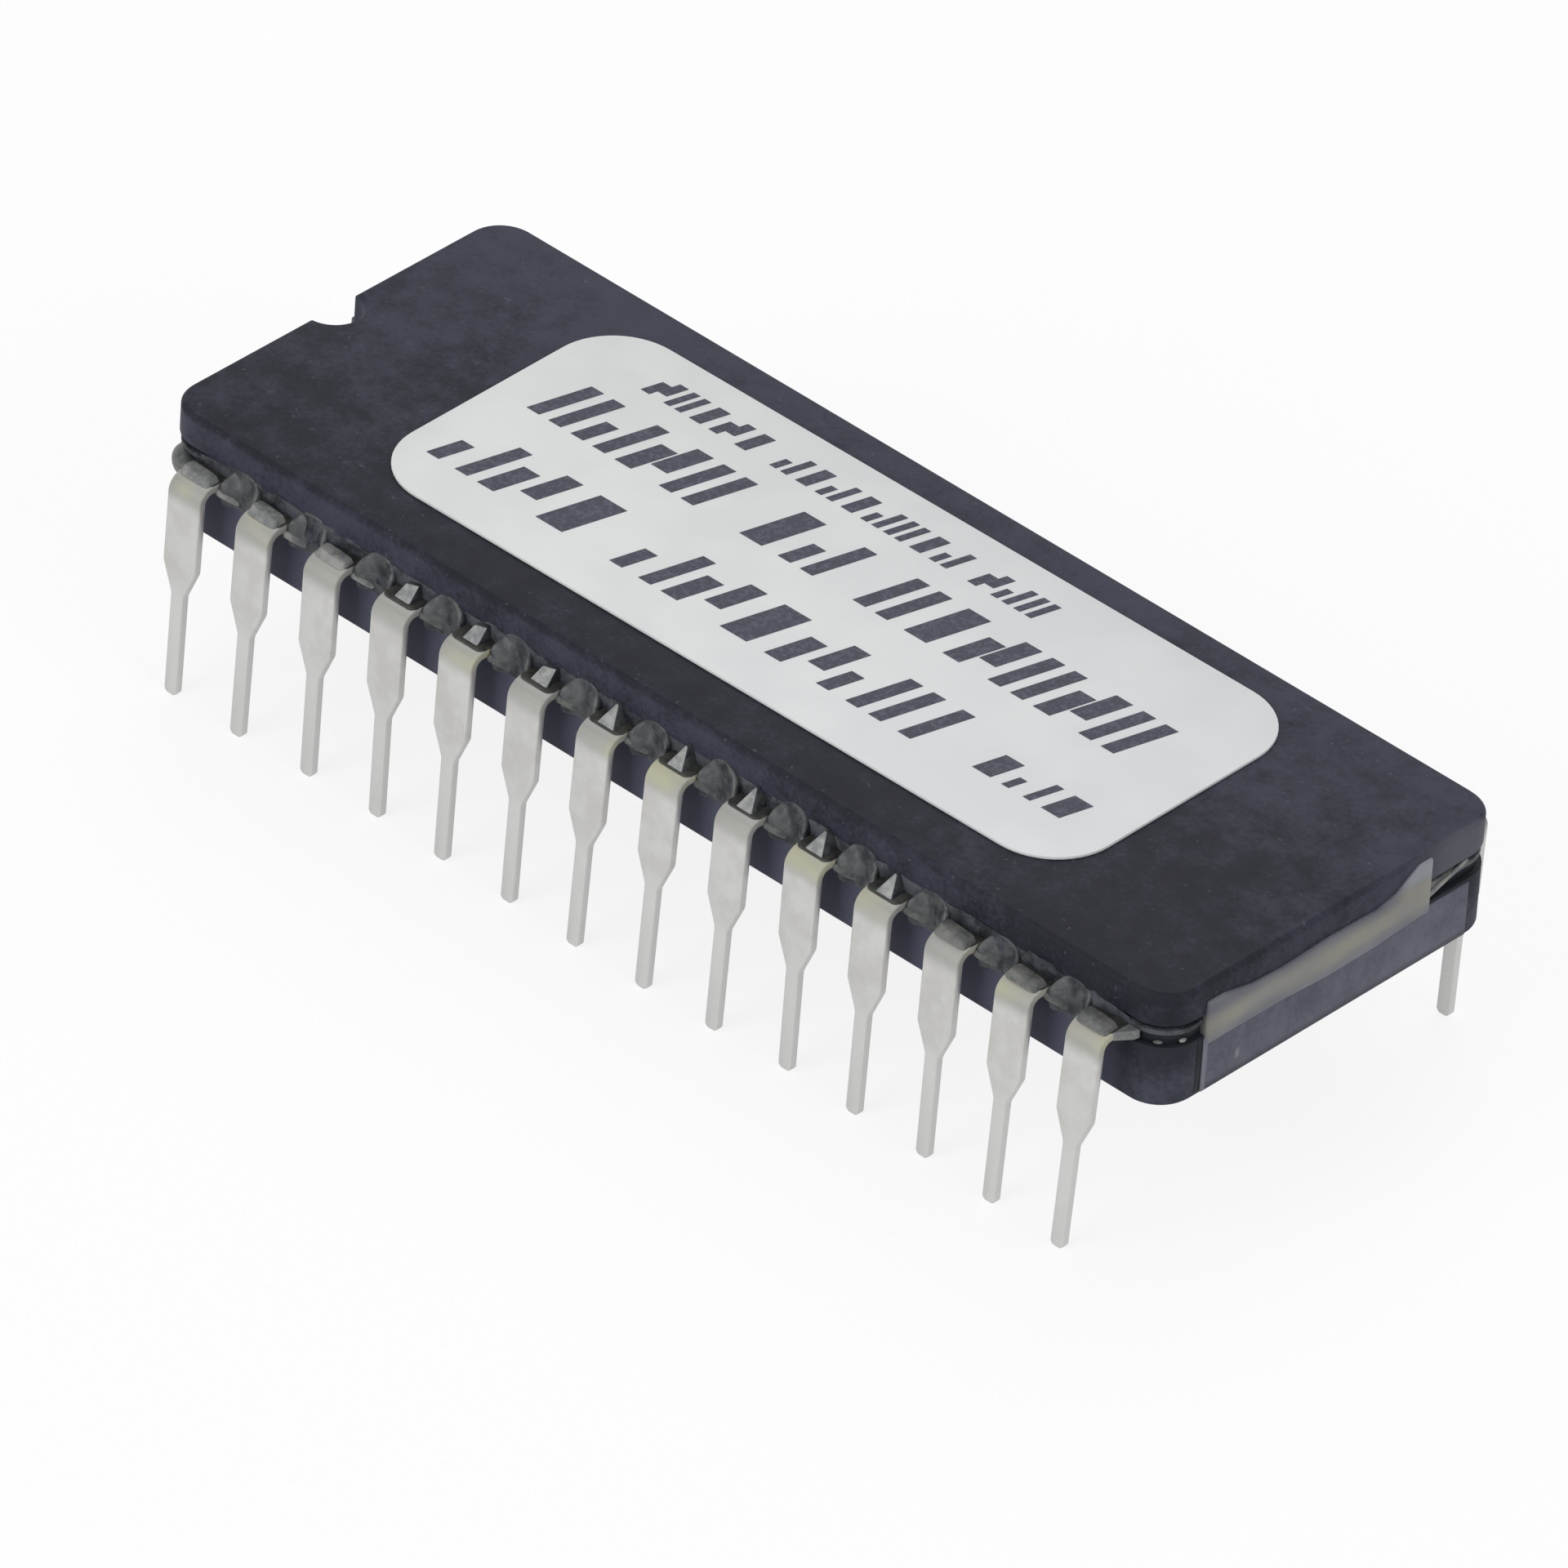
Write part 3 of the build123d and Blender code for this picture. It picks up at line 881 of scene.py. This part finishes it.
# %% [markdown]
# One pad is modelled and copied to every gap. Each copy has its own height and width, and three soft
# dents or lumps at places of its own, all from seeded chance, so that no two are alike.

# %% Copy the pads to both rows
chance = random.Random(28)
uneven = random.Random(14)
dent_reach = 0.09        # points this close to a dent's middle are moved


def gap_x(gap):
    """Middle of the gap to the right of a lead; gap counts from 0 at the notched end."""
    return (lead_x(gap) + lead_x(gap + 1)) / 2


for row, turned in rows:
    hand = -1 if turned else 1
    for gap in range(leads_per_row - 1):
        wide = 1 + chance.uniform(-0.02, 0.01)
        tall = 1 + chance.uniform(-0.06, 0.04) - (0.08 if gap > 9 else 0)
        place = Matrix.Translation(Vector((gap_x(gap), 0, 0)) * mm) @ grown((0, 0, pad_foot), x=wide, z=tall)
        copy = put_copy(pad, f"glass_pad_{row}_{gap + 1:02d}", place, turned)
        for _ in range(3):
            dent = Vector((gap_x(gap) + uneven.uniform(-0.5, 0.5), 0, uneven.uniform(6.5, 7.4)))
            choose_points(copy, lambda spot: abs(spot.x * hand - dent.x) < dent_reach
                          and abs(spot.z - dent.z) < dent_reach and spot.y * hand < -side - 0.02)
            pull(y=uneven.uniform(-0.06, 0.09) * hand, reach=0.3)
        iron(copy, 2)
        dress(copy, pad_glass, "seal_glass")
bpy.data.objects.remove(pad)
print("pads placed:", 2 * (leads_per_row - 1))

# %% [markdown]
# ## Thin foot of the glass
#
# A pale thread of glass leaves the stub on the left of each pad, falls, and dies out in the middle of
# the gap. It is palest in the first three gaps. It is a rod, cut across in eight by a subdivision of
# its long edges, whose left end is pulled up and forward to the stub. Its ends are inset and drawn in,
# so that it thins out.

# %% Model the foot and copy it
foot_z = 6.34
foot = rod("foot_master", 0.12, (-pad_radius, -side - 0.05, foot_z), (-0.02, -side - 0.05, foot_z), 12)
choose_edges(foot, lambda middle, way: abs(way.x) > 0.9)
bpy.ops.mesh.subdivide(number_cuts=7)
choose_faces(foot, lambda middle, normal: abs(normal.x) > 0.9)
bpy.ops.mesh.inset(thickness=0.07 * mm, depth=0.06 * mm)
choose_points(foot, lambda spot: spot.x < -0.6)
pull(y=-0.32, z=0.28, reach=0.6)
choose_points(foot, lambda spot: spot.x > -0.1)
pull(y=0.10, z=-0.03, reach=0.35)
soften(foot, 1)
smooth(foot, 60)
for row, turned in rows:
    for gap in range(leads_per_row - 1):
        place = Matrix.Translation(Vector((gap_x(gap), 0, chance.uniform(-0.03, 0.03))) * mm)
        copy = put_copy(foot, f"glass_foot_{row}_{gap + 1:02d}", place, turned)
        dress(copy, mound_glass if gap < 3 else foot_glass, "seal_glass")
bpy.data.objects.remove(foot)
print("feet placed:", 2 * (leads_per_row - 1))

# %% [markdown]
# ## Glass at the roots of the leads
#
# A thin film of glass crept over the top of each stub, almost to its bend. On it, a small form climbs
# to the side of the lid, of one of three kinds. Leads 4 to 6 have a blunt facet, leads 7 to 11 a
# pointed sliver, and the leads near the ends a low rounded mound. The front of a facet or a sliver is
# so thin and smooth that it mirrors the white room. That reflection is painted as a pale glass, the
# brightest spot of the whole seam.
#
# The film is a thin cube with rounded edges. The sliver starts as a cube too: its four upper points
# are drawn together and back, which leaves a leaning triangle in front, and that face alone gets the
# pale glass of the painted reflection. The facet is made alike, with its top left broad and only
# slanted. The mound is a low cube with bevelled corners, drawn in above, rounded and ironed.

# %% Model the film, the sliver, the facet and the mound
film = block("film_master", (-0.585, -side - 0.71, stub_top - 0.02), (0.585, -side + 0.1, stub_top + 0.016))
choose_edges(film, lambda middle, way: abs(way.z) > 0.9 and middle.y < -side)
bpy.ops.mesh.bevel(offset=0.2 * mm, segments=5)
round_edges(film, 0.008, segments=2)
smooth(film, 50)


def is_top(spot):
    """Tells the upper points of a root form from the lower ones."""
    return spot.z > stub_top + 0.3


def root_form(name, front, height, top_share, top_middle, back):
    """A cube from the stub up the lid, with a narrower top whose front is moved back."""
    form = block(name, (-0.30, front, stub_top), (0.34, -side + 0.05, stub_top + height))
    choose_points(form, is_top)
    stretch(top_share, 1, 1, (top_middle, -side, stub_top))
    choose_points(form, lambda spot: is_top(spot) and spot.y < -side - 0.2)
    move(y=back)
    return form


sliver = root_form("sliver_master", -7.19, 0.47, top_share=0.12, top_middle=-0.02, back=0.50)
round_edges(sliver, 0.03, segments=2)
smooth(sliver, 40)

facet = root_form("facet_master", -7.12, 0.46, top_share=0.78, top_middle=0.14, back=0.40)
choose_points(facet, lambda spot: is_top(spot) and spot.x < 0)
move(z=-0.14)
round_edges(facet, 0.04, segments=3)
smooth(facet, 40)

mound = block("mound_master", (-0.575, -7.33, stub_top - 0.02), (0.575, -6.74, stub_top + 0.15))
choose_edges(mound, lambda middle, way: abs(way.z) > 0.9)
bpy.ops.mesh.bevel(offset=0.14 * mm, segments=4, profile=0.5)
choose_points(mound, lambda spot: spot.z > stub_top)
stretch(0.84, 0.62, 1, (-0.04, -6.92, stub_top))
choose_points(mound, lambda spot: spot.z > stub_top and spot.x < 0)
move(z=0.05)
round_edges(mound, 0.06, segments=3, angle=20)
iron(mound, 5)
smooth(mound, 60)
print("sliver", len(sliver.data.polygons), "faces, mound", len(mound.data.polygons), "faces")

# %% [markdown]
# Every lead gets a film, and by its place in the row one of the three forms, stretched a little by
# chance. The bright front, a painted reflection, is a second material slot on the same piece, given
# to the faces that lean outwards.

# %% Copy the root forms to the leads
def paint_reflecting_front(piece, material, turned):
    """Gives the leaning front of a sliver or a facet a material of its own, which paints a reflection."""
    piece.data.materials.append(material)
    facing = 1 if turned else -1
    choose_faces(piece, lambda middle, normal: normal.y * facing > 0.5 and normal.z > 0.1)
    piece.active_material_index = 1
    bpy.ops.object.material_slot_assign()
    pick_nothing()


first_facet, first_sliver, first_low = 3, 6, 11      # places along the row, counted from 0
for row, turned in rows:
    for place in range(leads_per_row):
        spot = Matrix.Translation(Vector((lead_x(place), 0, 0)) * mm)
        number = f"{row}_{place + 1:02d}"
        copy = put_copy(film, f"root_film_{number}", spot, turned)
        dress(copy, film_glass, "seal_glass")
        if first_facet <= place < first_low:
            spot = spot @ grown((0, 0, stub_top), x=chance.uniform(0.88, 1.0), z=chance.uniform(0.9, 1.1))
            copy = put_copy(facet if place < first_sliver else sliver, f"root_sliver_{number}", spot, turned)
            dress(copy, pad_glass, "seal_glass")
            paint_reflecting_front(copy, painted_reflection_glass, turned)
        else:
            left = place < first_facet
            spot = spot @ grown((0, -side, stub_top), chance.uniform(0.94, 1.0), 1.02 if left else 1.10,
                                chance.uniform(0.8, 1.2))
            copy = put_copy(mound, f"root_mound_{number}", spot, turned)
            dress(copy, mound_glass if left else dull_glass, "seal_glass")
for master in (film, facet, sliver, mound):
    bpy.data.objects.remove(master)
print("roots dressed:", 2 * leads_per_row)

# %% [markdown]
# ## Glass at the corners
#
# The seam lies open at the four rounded corners. At the near left one a blob of glass stands out. At
# the near right one a thin web runs from the last lead into the seam, and two small drops shine in the
# dark: they are drops of glass whose pale colour also paints their glints. The drops and the blob are
# balls pulled out of round, and the web is a cube whose outer upright edge is drawn back to the
# package. The hidden far row gets the same web at its own last lead.

# %% Model the corner glass
def drop(name, spot, size, turn, material):
    """A ball of glass, stretched along its own axes in millimetres and turned about the height."""
    pick_nothing()
    bpy.ops.mesh.primitive_uv_sphere_add(segments=24, ring_count=14, radius=1 * mm)
    ball = bpy.context.object
    ball.name = name
    choose_points(ball, lambda place: place.z > 0.5)
    pull(x=0.12, z=-0.1, reach=0.8)
    pick_nothing()
    turned_to = Matrix.Rotation(math.radians(turn), 4, "Z")
    ball.data.transform(Matrix.Translation(Vector(spot) * mm) @ turned_to @ Matrix.Diagonal((*size, 1)))
    smooth(ball, 60)
    dress(ball, material, "seal_glass")


drop("corner_blob", (-17.85, -6.20, 6.38), (0.66, 0.38, 0.42), -45, dull_glass)
# the two drops' pale glass partly paints the glints seen in the dark seam
reach = corner_radius - 0.13     # the drops sit this far from the corner's centre
for number, (turn, wide, glass) in enumerate(((36, 0.13, dull_glass), (74, 0.11, mound_glass))):
    around = math.radians(turn)
    out = Vector((math.sin(around), -math.cos(around), 0)) * reach
    centre = Vector((end - corner_radius, -side + corner_radius, 6.60))
    drop(f"seam_drop_{number + 1}", centre + out, (wide, 0.07, 0.06), turn, glass)

last_edge = lead_x(leads_per_row - 1) + shoulder / 2
for row, turned in rows:
    web = block(f"corner_web_{row}", (last_edge - 0.06, -side - 0.66, 6.58),
                (last_edge + 0.36, -side + 0.12, stub_top + 0.01))
    choose_points(web, lambda spot: spot.x > last_edge + 0.2 and spot.y < -side - 0.3)
    move(x=-0.05, y=0.58)
    choose_points(web, lambda spot: spot.x < last_edge and spot.y < -side - 0.3 and spot.z < 6.7)
    move(z=0.05)
    round_edges(web, 0.04, segments=3, angle=20)
    smooth(web, 50)
    if turned:
        web.data.transform(far_row)
    dress(web, mound_glass, "seal_glass")
print("corner glass placed")

# %% [markdown]
# ## Bands of glass on the ends
#
# Along each end the glass flowed out as one long band with a wavy edge. At the far end of the right
# one it was wiped upwards into a peak. A cube is cut across with bisect at chosen places, the points
# of its top and foot at each cut are moved up or down, and the edges are rounded.

# %% Model the end bands
def end_band(name, low, high, waves, tips=None):
    """A band between two corners; waves are (place along Y, rise of its top, rise of its foot).

    Its two ends rise as the nearest wave does, or, with tips, by (rise of top, rise of foot).
    """
    band = block(name, low, high)
    for place, _, _ in waves:
        choose_faces(band, lambda middle, normal: True)
        bpy.ops.mesh.bisect(plane_co=(0, place * mm, 0), plane_no=(0, 1, 0))
    ends = ((low[1], *(tips or waves[0][1:])), (high[1], *(tips or waves[-1][1:])))
    for place, top, foot in (*waves, *ends):
        choose_points(band, lambda spot: spot.z > high[2] - 0.01 and abs(spot.y - place) < 0.01)
        move(z=top)
        choose_points(band, lambda spot: spot.z < low[2] + 0.01 and abs(spot.y - place) < 0.01)
        move(z=foot)
    round_edges(band, 0.08, segments=4, angle=25)
    smooth(band, 60)
    return band


right_waves = ((-4.4, 0.26, 0.04), (-3.3, 0.02, 0.04), (-2.2, -0.05, 0.04), (-0.3, 0.03, -0.08),
               (1.6, -0.02, -0.06), (2.3, 0.12, 0.0), (3.2, 0.64, 0.06))
right_band = end_band("glass_band_right", (end - 0.25, -5.02, 6.16), (end + 0.09, 3.72, 7.36), right_waves)
dress(right_band, band_glass, "seal_glass")
left_waves = ((-3.3, -0.06, 0.05), (-2.4, 0.05, -0.04), (-1.3, -0.04, 0.05), (1.4, 0.06, 0.0),
              (3.2, -0.05, 0.04), (4.3, -0.12, 0.10))
left_band = end_band("glass_band_left", (-end - 0.09, -4.1, 6.16), (-end + 0.25, 5.0, 7.34), left_waves,
                     tips=(-0.34, 0.30))
carve(left_band, notch_tool(notch_radius + 0.02))
smooth(left_band, 40)
dress(left_band, band_glass, "seal_glass")
print("bands with", len(right_waves), "and", len(left_waves), "waves")

# %% [markdown]
# Below the right band the flat of the base is glazed a little lighter than its rounded corners. That is
# a thin plate of its own, which ends near the corner at a dark strip of painted shadow, where its step
# shades the corner. Beyond the peak a thin skin of glass lies in the seam, and a pale lip of glass slants
# across it up to the lid. The skin is a cube whose lower far edge is moved up, and the lip a rod that
# thins out towards the far corner.

# %% Model what lies beside the right band
land = block("base_end_land", (end - 0.05, -5.05, 4.68), (end + 0.05, 5.32, 6.42))
round_edges(land, 0.035, segments=3)
smooth(land)
dress(land, land_clay.owner, "ceramic")

# a dark strip of painted shadow beside the land's near edge
painted_shadow_strip = block("base_end_painted_shadow", (end - 0.05, -5.27, 4.74), (end + 0.012, -5.04, 6.46))
round_edges(painted_shadow_strip, 0.01, segments=2)
smooth(painted_shadow_strip)
dress(painted_shadow_strip, seam_glass, "seal_glass")

skin = block("glass_skin_right", (end - 0.30, 3.6, 6.60), (end - 0.04, 5.35, 7.06))
choose_points(skin, lambda spot: spot.y > 5 and spot.z < 6.7)
move(z=0.38)
round_edges(skin, 0.02, segments=2)
smooth(skin)
dress(skin, foot_glass, "seal_glass")

lip_start, lip_stop = Vector((end - 0.03, 3.6, 6.68)), Vector((end - 0.03, 5.2, 7.16))
lip = rod("glass_lip_right", 0.10, lip_start, lip_stop, 12)
choose_faces(lip, lambda middle, normal: abs(normal.y) > 0.9)
bpy.ops.mesh.inset(thickness=0.03 * mm, depth=0.03 * mm)
choose_points(lip, lambda spot: spot.y > 5)
stretch(0.45, 1, 0.45, lip_stop + Vector((0.01, 0, 0)))
soften(lip, 1)
smooth(lip, 60)
dress(lip, mound_glass, "seal_glass")
print("land and groove below the right band, skin and lip beyond its peak")

# %% [markdown]
# ## The label
#
# The sticker is cut with round corners. It starts as a thin cube whose four upright edges are
# bevelled with the corner radius, and its upper rim is eased a little, as a cut sheet's is. It is
# turned by half a degree, because it was stuck on by hand.

# %% Model the label
half_length, half_width = 12.7, 5.0
sheet_corner = 2.05
sheet_low = (-half_length, -half_width, label_low.z)
sheet_high = (half_length, half_width, label_high.z)
sheet = block("label_sheet", sheet_low, sheet_high)
choose_edges(sheet, lambda middle, way: abs(way.z) > 0.9)
bpy.ops.mesh.bevel(offset=sheet_corner * mm, segments=14, profile=0.5)
round_edges(sheet, 0.025, segments=2, angle=50)
label_place = Matrix.Translation(Vector((-0.09, 0.27, 0)) * mm) @ Matrix.Rotation(math.radians(0.45), 4, "Z")
sheet.data.transform(label_place)
smooth(sheet)
dress(sheet, label.owner, "label_paper", "paper_label")
print("label", [round(value / mm, 2) for value in sheet.dimensions], "mm")

# %% [markdown]
# ## Marks on the label
#
# The label carries bold slanted print in dark ink. Here it becomes a pattern of slanted bars of the
# same weight and scale, which says nothing. One bar is modelled: a thin cube with its upper end moved
# to the right. The rows are drawn up from a list of bar widths, and each copy is stretched to size.

# %% Model one bar and lay out the rows
bar = block("bar_master", (-0.5, -0.5, 0), (0.5, 0.5, 1))
slant = 0.26             # rightward lean of a bar for each millimetre of its height
ink_thick = 0.014
ink_sunk = 0.004         # this much of a bar lies in the paper
marks = []


def lay_bar(left, bottom, width, height):
    """A slanted bar on the label, by its lower left corner on the sheet."""
    lean = slant * height / 2
    middle = Vector((left + width / 2 + lean, bottom + height / 2, label_high.z - ink_sunk))
    shape = Matrix(((width, slant * height, 0, 0), (0, height, 0, 0), (0, 0, ink_thick, 0), (0, 0, 0, 1)))
    place = label_place @ Matrix.Translation(middle * mm) @ shape
    marks.append(put_copy(bar, f"bar_{len(marks):03d}", place))


def lay_group(left, bottom, width, height, stroke, kind):
    """One group of bars in a cell: a pair, a broad bar, a low and a high one, or two staggered ones."""
    if kind == "pair":
        lay_bar(left, bottom, stroke, height)
        lay_bar(left + width - stroke, bottom, stroke, height)
    elif kind == "broad":
        lay_bar(left + width * 0.18, bottom, width * 0.64, height)
    elif kind == "step":
        lay_bar(left, bottom, stroke, height * 0.55)
        lay_bar(left + width - stroke, bottom, stroke, height)
    else:
        lay_bar(left, bottom, stroke * 1.3, height * 0.72)
        raised = bottom + height * 0.28
        lay_bar(left + width - stroke * 1.3 + slant * height * 0.28, raised, stroke * 1.3, height * 0.72)


def lay_row(left, right, bottom, height, stroke, words):
    """A row of groups; words gives the number of groups between two spaces."""
    space = stroke * 2.4
    cell = (right - left - space * (len(words) - 1)) / sum(words)
    at = left
    last_kind = ""
    for word in words:
        for _ in range(word):
            kinds = [kind for kind in ("pair", "broad", "step", "stagger") if kind != last_kind]
            last_kind = chance.choice(kinds)
            lay_group(at, bottom, cell - stroke * 0.8, height, stroke, last_kind)
            at += cell
        at += space


lay_row(-9.9, 4.6, 3.05, 0.95, 0.24, (5, 8, 3))
lay_row(-11.4, 10.4, 0.15, 2.0, 0.46, (4, 2, 6))
lay_row(-11.8, 6.3, -3.35, 2.0, 0.46, (3, 6))
lay_row(7.7, 11.4, -3.05, 1.05, 0.26, (3,))
pick_nothing()
for mark in marks:
    mark.select_set(True)
bpy.context.view_layer.objects.active = marks[0]
bpy.ops.object.join()
print_marks = bpy.context.object
print_marks.name = "label_marks"
dress(print_marks, ink.owner, "label_paper")
bpy.data.objects.remove(bar)
print("bars laid:", len(print_marks.data.polygons) // 6)
